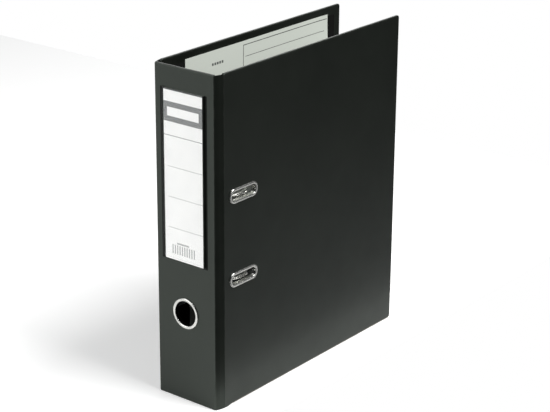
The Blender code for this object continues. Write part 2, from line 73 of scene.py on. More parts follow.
# ---- places read from the frame ---------------------------------------------------
BACK_LOW, BACK_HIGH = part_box("back_cover_film")
FRONT_LOW, FRONT_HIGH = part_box("front_cover_film")
SPINE_LOW, SPINE_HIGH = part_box("spine_film")
WALL = FRONT_HIGH.x - FRONT_LOW.x
TOP = FRONT_HIGH.z
INNER_X = BACK_HIGH.x                      # inner face of the back cover
FOLDS = {                                  # fold lines of the hinge strips, (x, y)
    "front_spine": (SPINE_HIGH.x, SPINE_LOW.y),
    "front_cover": (FRONT_HIGH.x, FRONT_LOW.y),
    "back_spine": (SPINE_LOW.x, SPINE_LOW.y),
    "back_cover": (BACK_LOW.x, BACK_LOW.y),
}
RING_LOW, RING_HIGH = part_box("finger_ring")
RING_MIDDLE = ((RING_LOW.x + RING_HIGH.x) / 2, (RING_LOW.z + RING_HIGH.z) / 2)
SIDES = ("upper", "lower")                 # slots, posts and saddles come in pairs
RIVETS = range(1, 5)

# ---- sizes of the finish ----------------------------------------------------------
FILM = 0.3 * MM
EDGE = 0.7 * MM                            # rounding of the film over a board's edge
EDGE_END = EDGE * 2.6                      # where the rubbed edge has faded out
TURN_IN = 14 * MM
COVER_CORNER = 2.6 * MM
SPINE_CORNER = 1.2 * MM
LINING_INSET = 9 * MM
LINING_CORNER = 2 * MM
LINING_SUNK = 0.12 * MM                    # hidden side of the lining, below the film
LINING_PROUD = 0.18 * MM
LINING_SOFT = 0.25 * MM
STRIP = 0.35 * MM                          # thickness of the bare film in the hinges
SLOT_CORNER = 4.0 * MM
SLOT_FLANGE = 2.6 * MM
RING_FLANGE = 2.8 * MM
TRIM_PROUD = 1.05 * MM
RIVET_SHANK = 1.6 * MM
COVER_HOLE = 1.9 * MM                      # radius of the rivet holes in film and lining
PLATE_HOLE = 1.85 * MM
RING_HOLES = (12.9 * MM, 15.6 * MM)        # radius of the finger hole in film and in lining
SLOT_ROOM = (0.8 * MM, 2.4 * MM)           # slots in film and in lining, beyond the clear opening
PAPER = 0.25 * MM
WIRE = 1.7 * MM                            # radius of the arch wire
PAST = 2 * MM                              # cutters run this far past what they cut
SHARP = math.radians(35)                   # edges sharper than this are shaded as edges


# ---- meshes -----------------------------------------------------------------------
def arc(centre, radius, start, end, steps):
    """Points on an arc in the plane, angles in degrees."""
    points = []
    for index in range(steps + 1):
        angle = math.radians(start + (end - start) * index / steps)
        points.append((centre[0] + radius * math.cos(angle), centre[1] + radius * math.sin(angle)))
    return points


def rounded(half_u, half_v, radius, steps, centre, parts=(1, 1)):
    """Outline of a rounded rectangle; `parts` divides its straight runs along u and v."""
    corners = []
    for sign_u, sign_v, start in ((1, 1, 0), (-1, 1, 90), (-1, -1, 180), (1, -1, 270)):
        middle = (centre[0] + sign_u * (half_u - radius), centre[1] + sign_v * (half_v - radius))
        corners.append(arc(middle, radius, start, start + 90, steps))
    points = []
    for index, corner in enumerate(corners):
        points += corner
        last = corner[-1]
        after = corners[(index + 1) % 4][0]
        for part in range(1, parts[index % 2]):
            share = part / parts[index % 2]
            points.append(tuple(a + (b - a) * share for a, b in zip(last, after)))
    return points


def smooth(value):
    """Eases from 0 to 1 and stays there on either side."""
    value = max(0.0, min(1.0, value))
    return value * value * (3 - 2 * value)


def circle(centre, radius, sides):
    """Regular polygon that stands for a circle."""
    return arc(centre, radius, 0, 360 - 360 / sides, sides - 1)


def on_x(outline, x):
    """A (y, z) outline laid in the plane at x."""
    return [Vector((x, y, z)) for y, z in outline]


def on_y(outline, y):
    """An (x, z) outline laid in the plane at y."""
    return [Vector((x, y, z)) for x, z in outline]


def on_z(outline, z):
    """An (x, y) outline laid in the plane at z."""
    return [Vector((x, y, z)) for x, y in outline]


def finish_mesh(bm):
    """Mesh from a bmesh, with outward normals and smooth shading."""
    bmesh.ops.recalc_face_normals(bm, faces=bm.faces)
    mesh = bpy.data.meshes.new("mesh")
    bm.to_mesh(mesh)
    bm.free()
    mesh.shade_smooth()
    mesh.set_sharp_from_angle(angle=SHARP)
    return mesh


def loft(loops, closed=False, wear=None):
    """Closed mesh through loops of equally many points; `wear` is one value for each loop."""
    bm = bmesh.new()
    layer = bm.verts.layers.float.new("wear")
    rings = []
    for number, loop in enumerate(loops):
        ring = [bm.verts.new(point) for point in loop]
        for vert in ring:
            vert[layer] = wear[number] if wear else 0.0
        rings.append(ring)
    count = len(rings[0])
    last = len(rings) if closed else len(rings) - 1
    for index in range(last):
        low = rings[index]
        high = rings[(index + 1) % len(rings)]
        for side in range(count):
            following = (side + 1) % count
            bm.faces.new((low[side], low[following], high[following], high[side]))
    if not closed:
        bm.faces.new(rings[0])
        bm.faces.new(rings[-1])
    return finish_mesh(bm)


def turned(profile, plane, centre, closed=False):
    """Solid of revolution from (radius, level) pairs, with capped ends unless it is closed."""
    return loft([plane(circle(centre, radius, 48), level) for radius, level in profile], closed)


def panel(u_lines, v_lines, place, thickness, ink):
    """Thin closed sheet on a grid. `place(u, v, depth)` gives a point; depth 0 is the outer face.

    `ink(u, v)` gives the material slots of the outer and the inner face there.
    """
    bm = bmesh.new()
    outer, inner = (
        [[bm.verts.new(place(u, v, depth)) for v in v_lines] for u in u_lines]
        for depth in (0, thickness)
    )
    last_u = len(u_lines) - 1
    last_v = len(v_lines) - 1
    for i in range(last_u):
        for j in range(last_v):
            around = (i, j), (i + 1, j), (i + 1, j + 1), (i, j + 1)
            quad = bm.faces.new([outer[a][b] for a, b in around])
            back = bm.faces.new([inner[a][b] for a, b in (around[0], *around[:0:-1])])
            middle = ((u_lines[i] + u_lines[i + 1]) / 2, (v_lines[j] + v_lines[j + 1]) / 2)
            quad.material_index, back.material_index = ink(*middle)
    for i in range(last_u):
        for j in (0, last_v):
            bm.faces.new((outer[i][j], outer[i + 1][j], inner[i + 1][j], inner[i][j]))
    for j in range(last_v):
        for i in (0, last_u):
            bm.faces.new((outer[i][j], outer[i][j + 1], inner[i][j + 1], inner[i][j]))
    return finish_mesh(bm)


def lines(start, end, steps, extra=()):
    """Grid lines from start to end, with extra lines where the print needs them."""
    even = [start + (end - start) * index / steps for index in range(steps + 1)]
    keep = 0.15 * MM
    even = [value for value in even if all(abs(value - other) > keep for other in extra)]
    return sorted(even + list(extra))


def sweep(path, radius, sides=24):
    """Round wire along a path, with its frame carried along without twisting."""
    loops = []
    tangent = (path[1] - path[0]).normalized()
    normal = tangent.orthogonal().normalized()
    for index, point in enumerate(path):
        before = path[max(index - 1, 0)]
        after = path[min(index + 1, len(path) - 1)]
        direction = (after - before).normalized()
        normal.rotate(tangent.rotation_difference(direction))
        tangent = direction
        side = tangent.cross(normal)
        at_end = index in (0, len(path) - 1)
        size = radius * (0.8 if at_end else 1.0)
        loop = []
        for step in range(sides):
            angle = math.tau * step / sides
            loop.append(point + (normal * math.cos(angle) + side * math.sin(angle)) * size)
        loops.append(loop)
    return loft(loops)


def filleted(points, radii, steps):
    """Polyline whose inner corners are rounded by arcs of the given radii."""
    path = [points[0]]
    for index in range(1, len(points) - 1):
        corner = points[index]
        before = (points[index - 1] - corner).normalized()
        after = (points[index + 1] - corner).normalized()
        half_angle = before.angle(after) / 2
        setback = radii[index - 1] / math.tan(half_angle)
        centre = corner + (before + after).normalized() * radii[index - 1] / math.sin(half_angle)
        start = (corner + before * setback - centre).normalized()
        end = (corner + after * setback - centre).normalized()
        for step in range(steps + 1):
            path.append(centre + start.slerp(end, step / steps) * radii[index - 1])
    path.append(points[-1])
    return path


def wave(point, size, amount):
    """Smooth unevenness between -amount and amount at a point."""
    return noise.noise(Vector(point) / size) * amount


def middle_of(node):
    """Middle of a node's box."""
    low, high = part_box(node)
    return (low + high) / 2


def face_of(node):
    """Half sizes and middle of a node's box in the (y, z) plane."""
    low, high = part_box(node)
    half = ((high.y - low.y) / 2, (high.z - low.z) / 2)
    return half, ((high.y + low.y) / 2, (high.z + low.z) / 2)


def piece(name, mesh, *mats):
    """New object in the scene with its mesh and materials."""
    mesh.name = name
    for mat in mats:
        mesh.materials.append(mat)
    obj = bpy.data.objects.new(name, mesh)
    bpy.context.scene.collection.objects.link(obj)
    return obj


def punch(obj, outline, plane, low, high):
    """Cuts a hole of the given outline through obj, from one level to the other."""
    tool = bpy.data.objects.new("tool", loft([plane(outline, low), plane(outline, high)]))
    bpy.context.scene.collection.objects.link(tool)
    mod = obj.modifiers.new("Cut", "BOOLEAN")
    mod.operation = "DIFFERENCE"
    mod.solver = "EXACT"
    mod.object = tool
    graph = bpy.context.evaluated_depsgraph_get()
    result = bpy.data.meshes.new_from_object(obj.evaluated_get(graph))
    obj.modifiers.remove(mod)
    bpy.data.objects.remove(tool)
    obj.data = result
    result.name = obj.name
    result.set_sharp_from_angle(angle=SHARP)


# ---- materials --------------------------------------------------------------------
class Surface:
    """A procedural Principled material, built up from noise in the piece's own coordinates."""

    def __init__(self, name, roughness, metallic=0.0, specular=0.5):
        self.material = bpy.data.materials.new(name)
        self.material.use_nodes = True
        self.tree = self.material.node_tree
        self.shader = self.tree.nodes["Principled BSDF"]
        self.shader.inputs["Metallic"].default_value = metallic
        self.shader.inputs["Specular IOR Level"].default_value = specular
        self.shader.inputs["Roughness"].default_value = roughness
        self.where = self.node("ShaderNodeTexCoord").outputs["Object"]

    def node(self, kind, **values):
        made = self.tree.nodes.new(kind)
        for name, value in values.items():
            setattr(made, name, value)
        return made

    def link(self, output, target):
        self.tree.links.new(output, target)

    def stretched(self, scale):
        mapping = self.node("ShaderNodeMapping")
        mapping.inputs["Scale"].default_value = scale
        self.link(self.where, mapping.inputs["Vector"])
        return mapping.outputs["Vector"]

    def noise(self, size, detail=3.0, stretch=None):
        """Noise whose features are about `size` metres across."""
        made = self.node("ShaderNodeTexNoise")
        made.inputs["Scale"].default_value = 1 / size
        made.inputs["Detail"].default_value = detail
        self.link(self.stretched(stretch) if stretch else self.where, made.inputs["Vector"])
        return made.outputs["Fac"]

    def cells(self, size):
        made = self.node("ShaderNodeTexVoronoi", feature="SMOOTH_F1")
        made.inputs["Scale"].default_value = 1 / size
        made.inputs["Smoothness"].default_value = 0.4
        self.link(self.where, made.inputs["Vector"])
        return made.outputs["Distance"]

    def spread(self, value, low, high, to_low, to_high):
        """Value from low to high becomes to_low to to_high."""
        made = self.node("ShaderNodeMapRange")
        made.inputs["From Min"].default_value = low
        made.inputs["From Max"].default_value = high
        made.inputs["To Min"].default_value = to_low
        made.inputs["To Max"].default_value = to_high
        self.link(value, made.inputs["Value"])
        return made.outputs["Result"]

    def mix(self, share, first, second):
        """Colour between two, each a colour or a socket."""
        made = self.node("ShaderNodeMix", data_type="RGBA")
        for socket, colour in ((made.inputs[6], first), (made.inputs[7], second)):
            if isinstance(colour, tuple):
                socket.default_value = (*colour, 1)
            else:
                self.link(colour, socket)
        self.link(share, made.inputs[0])
        return made.outputs[2]

    def times(self, first, second):
        made = self.node("ShaderNodeMath", operation="MULTIPLY")
        self.link(first, made.inputs[0])
        self.link(second, made.inputs[1])
        return made.outputs[0]

    def worn(self, colour, bare, size):
        """Mixes a rubbed colour in where the mesh says an edge wears."""
        attribute = self.node("ShaderNodeAttribute", attribute_name="wear")
        patchy = self.spread(self.noise(size, 4.0), 0.35, 0.75, 0.15, 1.0)
        return self.mix(self.times(attribute.outputs["Fac"], patchy), colour, bare)

    def colour(self, value):
        self.link(value, self.shader.inputs["Base Color"])

    def rough(self, value):
        self.link(value, self.shader.inputs["Roughness"])

    def bump(self, height, distance, strength):
        made = self.node("ShaderNodeBump")
        made.inputs["Strength"].default_value = strength
        made.inputs["Distance"].default_value = distance
        self.link(height, made.inputs["Height"])
        if self.shader.inputs["Normal"].is_linked:
            self.link(self.shader.inputs["Normal"].links[0].from_socket, made.inputs["Normal"])
        self.link(made.outputs["Normal"], self.shader.inputs["Normal"])


def film_surface():
    """Black polypropylene film with a fine pressed grain, rubbed a little along the edges."""
    s = Surface("black_film", 0.4, specular=0.36)
    s.shader.inputs["Specular Tint"].default_value = (0.86, 1.0, 0.88, 1)
    clouds = s.spread(s.noise(60 * MM, 4.0), 0.3, 0.7, 0.0, 1.0)
    base = s.mix(clouds, (0.0050, 0.0060, 0.0046), (0.0078, 0.0092, 0.0072))
    s.colour(s.worn(base, (0.020, 0.022, 0.019), 9 * MM))
    s.rough(s.spread(s.noise(18 * MM, 5.0), 0.3, 0.7, 0.35, 0.42))
    s.bump(s.cells(0.75 * MM), 0.035 * MM, 0.55)
    s.bump(s.noise(9 * MM, 2.0), 0.08 * MM, 0.35)
    return s.material


def lining_surface():
    """Matt black lining paper with short fibres."""
    s = Surface("black_lining", 0.75, specular=0.1)
    fibres = s.noise(0.9 * MM, 5.0, (1.0, 1.0, 0.35))
    tone = s.spread(fibres, 0.35, 0.7, 0.0, 1.0)
    s.colour(s.mix(tone, (0.0028, 0.0030, 0.0026), (0.0062, 0.0066, 0.0058)))
    s.rough(s.spread(s.noise(25 * MM), 0.3, 0.7, 0.68, 0.82))
    s.bump(fibres, 0.03 * MM, 0.5)
    return s.material


def board_surface():
    """Raw grey board with flecks."""
    s = Surface("grey_board", 0.9, specular=0.2)
    flecks = s.spread(s.noise(1.4 * MM, 6.0), 0.4, 0.7, 0.0, 1.0)
    s.colour(s.mix(flecks, (0.30, 0.275, 0.24), (0.42, 0.39, 0.34)))
    s.bump(s.noise(0.5 * MM, 4.0), 0.05 * MM, 0.6)
    return s.material


def nickel_surface(name, dark, bright):
    """Bright nickel plate with a soft orange peel and faint scratches; given a darker colour pair
    it makes a copy with painted shade.
    """
    s = Surface(name, 0.2, 1.0)
    tone = s.spread(s.noise(5 * MM, 3.0), 0.3, 0.7, 0.0, 1.0)
    s.colour(s.mix(tone, dark, bright))
    s.rough(s.spread(s.noise(2.2 * MM, 6.0, (1.0, 3.0, 1.0)), 0.3, 0.75, 0.20, 0.36))
    s.bump(s.noise(1.6 * MM, 2.0), 0.02 * MM, 0.35)
    return s.material


def steel_surface():
    """Zinc plated sheet steel, drawn along Z."""
    s = Surface("zinc_plate", 0.3, 1.0)
    streaks = s.noise(0.8 * MM, 5.0, (1.0, 1.0, 0.06))
    spangle = s.spread(s.noise(7 * MM, 3.0), 0.3, 0.7, 0.0, 1.0)
    s.colour(s.mix(spangle, (0.58, 0.60, 0.62), (0.72, 0.73, 0.74)))
    s.rough(s.spread(streaks, 0.3, 0.75, 0.24, 0.44))
    s.bump(streaks, 0.015 * MM, 0.4)
    return s.material


def roller_surface():
    """Off-white moulded roller with a turned grip mark."""
    s = Surface("roller_plastic", 0.42)
    rings = s.noise(1.2 * MM, 3.0, (0.2, 0.2, 2.0))
    s.colour(s.mix(s.spread(rings, 0.3, 0.7, 0.0, 1.0), (0.70, 0.695, 0.66), (0.80, 0.795, 0.765)))
    s.rough(s.spread(s.noise(3 * MM), 0.3, 0.7, 0.36, 0.5))
    s.bump(rings, 0.02 * MM, 0.4)
    return s.material


def card_surface(name, colour, shade):
    """Smooth printed card: paper fibre under an even ink colour."""
    s = Surface(name, 0.55, specular=0.35)
    fibre = s.spread(s.noise(0.6 * MM, 5.0), 0.3, 0.7, 0.0, 1.0)
    dark = tuple(part * shade for part in colour)
    s.colour(s.mix(fibre, dark, colour))
    s.rough(s.spread(s.noise(4 * MM), 0.3, 0.7, 0.5, 0.62))
    s.bump(s.noise(0.35 * MM, 3.0), 0.012 * MM, 0.4)
    return s.material


def clear_surface():
    """Clear film of the pocket: see-through, with a soft gloss."""
    s = Surface("pocket_clear", 0.12)
    s.shader.inputs["Base Color"].default_value = (0.9, 0.92, 0.92, 1)
    s.link(s.spread(s.noise(30 * MM), 0.3, 0.7, 0.05, 0.09), s.shader.inputs["Alpha"])
    s.rough(s.spread(s.noise(12 * MM), 0.3, 0.7, 0.08, 0.18))
    s.bump(s.noise(22 * MM, 1.0), 0.2 * MM, 0.3)
    return s.material


def rim_surface():
    """Welded rim of the pocket: glossy clear film on black, which reads as gloss black. Also
    painted shade: near-black on the finger ring's barrel and inner flange, which are really
    nickel.
    """
    s = Surface("pocket_rim_and_hole_shade", 0.2, specular=0.05)
    tone = s.spread(s.noise(14 * MM), 0.3, 0.7, 0.0, 1.0)
    s.colour(s.mix(tone, (0.0035, 0.0042, 0.0034), (0.0070, 0.0080, 0.0068)))
    s.rough(s.spread(s.noise(6 * MM, 4.0), 0.3, 0.7, 0.16, 0.30))
    s.bump(s.noise(10 * MM, 1.0), 0.12 * MM, 0.3)
    return s.material


FILM_MAT = film_surface()
LINING_MAT = lining_surface()
BOARD_MAT = board_surface()
NICKEL_MAT = nickel_surface("nickel_plate", (0.74, 0.735, 0.70), (0.86, 0.855, 0.82))
# Darker copy of the same nickel for the finger ring: painted shade that tones the ring down where
# the key lamp lights it.
SHADED_RING_NICKEL_MAT = nickel_surface("shaded_nickel_ring", (0.47, 0.475, 0.455), (0.56, 0.565, 0.54))
STEEL_MAT = steel_surface()
ROLLER_MAT = roller_surface()
CLEAR_MAT = clear_surface()
# Gloss black of the pocket rim, also used as painted shade inside the finger hole.
RIM_AND_HOLE_SHADE_MAT = rim_surface()
CARD_MAT = card_surface("white_card", (0.92, 0.92, 0.905), 0.98)
GREY_INK = card_surface("grey_ink", (0.148, 0.155, 0.152), 0.93)
DARK_INK = card_surface("dark_ink", (0.07, 0.073, 0.073), 0.93)
PALE_INK = card_surface("pale_ink", (0.40, 0.41, 0.40), 0.95)
PAPER_MAT = card_surface("grey_paper", (0.60, 0.635, 0.575), 0.95)
PAPER_INK = card_surface("paper_ink", (0.085, 0.09, 0.085), 0.93)


# ---- covered boards ---------------------------------------------------------------
def wrap_profile(thickness):
    """(inset, depth, wear) of film from the outer face round the edge to the turn-in."""
    profile = [(EDGE_END, 0, 0.0)]
    for inset, depth in arc((EDGE, EDGE), EDGE, 270, 180, 5):
        profile.append((inset, depth, 1.0))
    for inset, depth in arc((EDGE, thickness - EDGE), EDGE, 180, 90, 5):
        profile.append((inset, depth, 0.6))
    profile.append((EDGE_END, thickness, 0.0))
    profile.append((TURN_IN, thickness, 0.0))
    profile.append((TURN_IN, thickness - FILM, 0.0))
    profile.append((FILM, thickness - FILM, 0.0))
    profile.append((FILM, FILM, 0.0))
    return profile


def wrapped(centre, half, corner, plane, outer, inward, uneven):
    """Film over a board. `uneven(point)` moves a point a little for a hand-made edge."""
    loops = []
    wear = []
    parts = tuple(round(2 * side / (3 * MM)) for side in half)
    for inset, depth, rub in wrap_profile(WALL):
        radius = max(corner - inset, corner * 0.25)
        outline = rounded(half[0] - inset, half[1] - inset, radius, 6, centre, parts)
        loops.append([uneven(point) for point in plane(outline, outer + inward * depth)])
        wear.append(rub)
    return loft(loops, wear=wear)


def cover_uneven(point):
    """Slightly wavy top; the front cover's lower edge is cut back a little beyond the hinge."""
    moved = point.copy()
    up = max(0.0, (point.z - TOP * 0.9) / (TOP * 0.1))
    moved.z -= up * (0.12 * MM + wave((point.y, 3.0, 0.0), 30 * MM, 0.12 * MM))
    if point.x > 0:
        down = smooth((24 * MM - point.z) / (24 * MM))
        beyond = smooth((point.y - FRONT_LOW.y - 7 * MM) / (3 * MM))
        moved.z += 1.1 * MM * down * beyond
        outer = smooth((point.y - FRONT_HIGH.y + 12 * MM) / (10 * MM))
        moved.y -= 0.55 * MM * outer * smooth((30 * MM - point.z) / (3 * MM))
    return moved


def spine_uneven(point):
    """The spine's top edge dips unevenly where the film is folded over."""
    moved = point.copy()
    up = max(0.0, (point.z - TOP * 0.93) / (TOP * 0.07))
    moved.z -= up * (0.15 * MM + wave((point.x, 7.0, 0.0), 16 * MM, 0.15 * MM))
    return moved


def slot_outline(side, offset, steps=12):
    """A cover slot's clear opening, widened by offset."""
    half, centre = face_of("slot_eyelet_" + side)
    half_y, half_z = half[0] - SLOT_FLANGE, half[1] - SLOT_FLANGE
    return rounded(half_y + offset, half_z + offset, SLOT_CORNER + offset, steps, centre)


def lining_paper(name, half, centre, plane, face, inward):
    """Lining glued over the film's turn-in, with its edge rounded a little."""
    loops = []
    for inset, level in ((0, -LINING_SUNK), (0, LINING_PROUD * 0.5), (LINING_SOFT, LINING_PROUD)):
        edge = LINING_INSET + inset
        outline = rounded(half[0] - edge, half[1] - edge, LINING_CORNER, 5, centre, (4, 12))
        loops.append(plane(outline, face + inward * level))
    return piece(name, loft(loops), LINING_MAT)


def cover(prefix, outer, inward):
    """Film and lining of one cover, whose outer face is at `outer`."""
    half, centre = face_of(prefix + "_film")
    film = piece(
        prefix + "_skin",
        wrapped(centre, half, COVER_CORNER, on_x, outer, inward, cover_uneven),
        FILM_MAT,
    )
    face = outer + inward * WALL
    return film, lining_paper(prefix + "_lining_paper", half, centre, on_x, face, inward)


def front_cover():
    film, lining = cover("front_cover", FRONT_HIGH.x, -1)
    for side in SIDES:
        for obj, offset in zip((film, lining), SLOT_ROOM):
            punch(obj, slot_outline(side, offset), on_x, FRONT_LOW.x - PAST, FRONT_HIGH.x + PAST)
    for obj, slot in ((film, "film"), (lining, "lining")):
        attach(obj, "front_cover")
        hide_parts("front_cover_" + slot)


def back_cover():
    film, lining = cover("back_cover", BACK_LOW.x, 1)
    for number in RIVETS:
        hole = circle(face_of(f"base_rivet_{number}")[1], COVER_HOLE, 24)
        for obj in (film, lining):
            punch(obj, hole, on_x, BACK_LOW.x - PAST, BACK_HIGH.x + PAST)
    for obj, slot in ((film, "film"), (lining, "lining")):
        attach(obj, "back_cover")
        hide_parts("back_cover_" + slot)


def spine():
    half = ((SPINE_HIGH.x - SPINE_LOW.x) / 2, (SPINE_HIGH.z - SPINE_LOW.z) / 2)
    centre = (0.0, (SPINE_HIGH.z + SPINE_LOW.z) / 2)
    mesh = wrapped(centre, half, SPINE_CORNER, on_y, SPINE_LOW.y, 1, spine_uneven)
    film = piece("spine_skin", mesh, FILM_MAT)
    lining = lining_paper("spine_lining_paper", half, centre, on_y, SPINE_HIGH.y, 1)
    for obj, radius in zip((film, lining), RING_HOLES):
        hole = circle(RING_MIDDLE, radius, 72)
        punch(obj, hole, on_y, SPINE_LOW.y - PAST, SPINE_HIGH.y + PAST)
    for obj, slot in ((film, "film"), (lining, "lining")):
        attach(obj, "spine")
        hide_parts("spine_" + slot)


# ---- hinges -----------------------------------------------------------------------
def crease(name, side, near, node=None):
    """Half a hinge strip: bare film that leaves a board's edge and bends over a fold line."""
    sign = 1 if side == "front" else -1
    spine_fold = Vector((*FOLDS[side + "_spine"], 0))
    cover_fold = Vector((*FOLDS[side + "_cover"], 0))
    along = (cover_fold - spine_fold).normalized()
    inward = Vector((-along.y, along.x, 0))
    if inward.x * sign > 0:
        inward.negate()
    if near == "spine":
        fold, out = spine_fold, along
        into, board_in = Vector((-sign, 0, 0)), Vector((0, 1, 0))
    else:
        fold, out = cover_fold, -along
        into, board_in = Vector((0, 1, 0)), Vector((-sign, 0, 0))
    tail = fold + into * 2.6 * MM + board_in * (0.45 * MM)
    corner = fold + board_in * 0.35 * MM + inward * 0.05 * MM
    middle = (spine_fold + cover_fold) / 2 + inward * (0.12 * MM)
    path = filleted([tail, corner, middle], (1.2 * MM,), 8)
    inner = []
    for index, point in enumerate(path):
        direction = (path[min(index + 1, len(path) - 1)] - path[max(index - 1, 0)]).normalized()
        across = Vector((-direction.y, direction.x, 0))
        if across.dot(inward + board_in * MM) < 0:
            across.negate()
        inner.append(point + across * STRIP)
    section = path + inner[::-1]
    low, high = SPINE_LOW.z + 0.2 * MM, SPINE_HIGH.z - 0.5 * MM
    steps = 40
    loops = []
    for index in range(steps + 1):
        level = low + (high - low) * index / steps
        ripple = wave((level, sign * 5.0, 1.0), 35 * MM, 0.10 * MM)
        loop = []
        for point in section:
            from_fold = min(1.0, (point - fold).length / (4.5 * MM))
            share = math.sin(from_fold * math.pi * 0.5) ** 2
            loop.append(Vector((point.x, point.y, level)) + inward * ripple * share)
        loops.append(loop)
    obj = piece(name, loft(loops), FILM_MAT)
    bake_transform(obj)
    if node:
        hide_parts(node)


def hinges():
    for side in ("front", "back"):
        crease(side + "_crease_spine", side, "spine", side + "_hinge_strip")
        crease(side + "_crease_cover", side, "cover")


# ---- metal trim -------------------------------------------------------------------
def rolled_trim(face, sign, back, flange):
    """Closed (offset, level) profile of a crowned metal rim clamped through a board."""
    crown = 0.62                           # below 1 the crown is squarer than an ellipse
    lift = 0.1 * MM
    gap = 0.05 * MM
    barrel = 0.45 * MM
    half = flange / 2
    profile = []
    for step in range(17):
        angle = math.pi * step / 16
        across = math.copysign(abs(math.cos(angle)) ** crown, math.cos(angle))
        rise = math.sin(angle) ** crown
        profile.append((half + half * across, face + sign * (lift + (TRIM_PROUD - lift) * rise)))
    for x, y in arc((TRIM_PROUD, 0), TRIM_PROUD, 180, 270, 6):
        profile.append((x, back + sign * y))
    profile.append((flange * 0.8, back - sign * TRIM_PROUD * 0.55))
    profile.append((flange * 0.8, back - sign * gap))
    profile.append((barrel, back - sign * gap))
    profile.append((barrel, face + sign * gap))
    profile.append((flange, face + sign * gap))
    return profile


def trims():
    """Nickel rims of the cover's slots and of the finger hole. The finger ring's nickel is a
    darker copy with painted shade, and its barrel and inner flange are painted near-black shade.
    """
    for side in SIDES:
        profile = rolled_trim(FRONT_HIGH.x, 1, FRONT_LOW.x, SLOT_FLANGE)
        loops = [on_x(slot_outline(side, offset, 16), level) for offset, level in profile]
        obj = piece("slot_rim_" + side, loft(loops, closed=True), NICKEL_MAT)
        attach(obj, "front_cover")
        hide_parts("slot_eyelet_" + side)
    inner = (RING_HIGH.x - RING_LOW.x) / 2 - RING_FLANGE
    profile = rolled_trim(SPINE_LOW.y, -1, SPINE_HIGH.y, RING_FLANGE)
    loops = [on_y(circle(RING_MIDDLE, inner + offset, 120), level) for offset, level in profile]
    obj = piece("finger_ring_rim", loft(loops, closed=True), SHADED_RING_NICKEL_MAT, RIM_AND_HOLE_SHADE_MAT)
    # Faces behind the spine's outer face (the ring's barrel and inner flange) get the near-black
    # rim finish instead of nickel: painted shade in the finger hole.
    for face in obj.data.polygons:
        if face.center.y > SPINE_LOW.y + 0.1 * MM:
            face.material_index = 1
    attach(obj, "spine")
    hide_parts("finger_ring")


# ---- label and pocket -------------------------------------------------------------
def pocket():
    """Clear film welded to the spine on three sides and open at the top."""
    low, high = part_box("label_pocket")
    label_low, label_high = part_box("spine_label")
    weld = 1.2 * MM
    ramp = 1.6 * MM
    bulge = SPINE_LOW.y - low.y - 0.14 * MM
    rest = SPINE_LOW.y - 0.10 * MM

    def place(x, z, depth):
        edge = min(x - low.x, high.x - x, z - low.z)
        rise = smooth((edge - weld) / ramp)
        open_end = smooth((high.z - z) / (14 * MM))
        sag = wave((x, 0.0, z), 26 * MM, 0.06 * MM) * rise * open_end
        return Vector((x, rest - bulge * rise + sag + depth * (0.5 + rise * 0.5), z))

    fine = [weld + ramp * share for share in (0, 0.33, 0.66, 1)]
    window = (label_low.x - 0.4 * MM, label_high.x + 0.4 * MM)
    from_left = [low.x + depth for depth in fine]
    from_right = [high.x - depth for depth in fine]
    xs = lines(low.x, high.x, 24, [*from_left, *from_right, *window])
    zs = lines(low.z, high.z, 48, [low.z + depth for depth in fine])

    def ink(x, z):
        clear = window[0] < x < window[1] and z > low.z + fine[2]
        return (0, 0) if clear else (1, 1)

    obj = piece("pocket_film", panel(xs, zs, place, 0.13 * MM, ink), CLEAR_MAT, RIM_AND_HOLE_SHADE_MAT)
    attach(obj, "spine")
    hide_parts("label_pocket")


def label():
    """White card with a grey head band, thin rules and a generic block of bars."""
    low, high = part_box("spine_label")
    height = high.z - low.z
    width = high.x - low.x

    def up(part):
        return low.z + part * height

    band = (up(0.819), up(0.935))
    field = (up(0.851), up(0.903))
    dark_rule = up(0.737)
    rules = [up(0.555), up(0.374), up(0.191)]
    bars = (up(0.036), up(0.092))
    caption = (up(0.098), up(0.108))
    thin = 0.5 * MM
    dark_top = dark_rule + 0.55 * MM
    bar_first = low.x + width * 0.18
    bar_pitch = 2.8 * MM
    bar_count = 10
    field_x = (low.x + 4 * MM, high.x - 4 * MM)
    zs = [*band, *field, dark_rule, dark_top, *bars, *caption]
    for rule in rules:
        zs += [rule, rule + thin]
    xs = list(field_x)
    for number in range(bar_count):
        start = bar_first + number * bar_pitch
        xs += [start, start + bar_pitch * 0.5]
    names = {"card": 0, "grey": 1, "dark": 2, "pale": 3}

    def ink(x, z):
        kind = "card"
        if band[0] < z < band[1]:
            kind = "grey"
            if field[0] < z < field[1] and field_x[0] < x < field_x[1]:
                kind = "card"
        elif dark_rule < z < dark_top:
            kind = "dark"
        elif any(rule < z < rule + thin for rule in rules) and low.x + 2 * MM < x:
            kind = "pale"
        elif bars[0] < z < bars[1] and bar_first < x < bar_first + bar_count * bar_pitch:
            on_bar = (x - bar_first) % bar_pitch < bar_pitch * 0.5
            kind = "pale" if on_bar else "card"
        elif caption[0] < z < caption[1] and bar_first + 6 * MM < x < bar_first + 20 * MM:
            kind = "pale"
        return names[kind], 0

    def place(x, z, depth):
        return Vector((x, low.y + depth, z))

    xs, zs = lines(low.x, high.x, 8, xs), lines(low.z, high.z, 24, zs)
    mesh = panel(xs, zs, place, high.y - low.y, ink)
    obj = piece("label_card", mesh, CARD_MAT, GREY_INK, DARK_INK, PALE_INK)
    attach(obj, "label")
    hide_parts("spine_label")


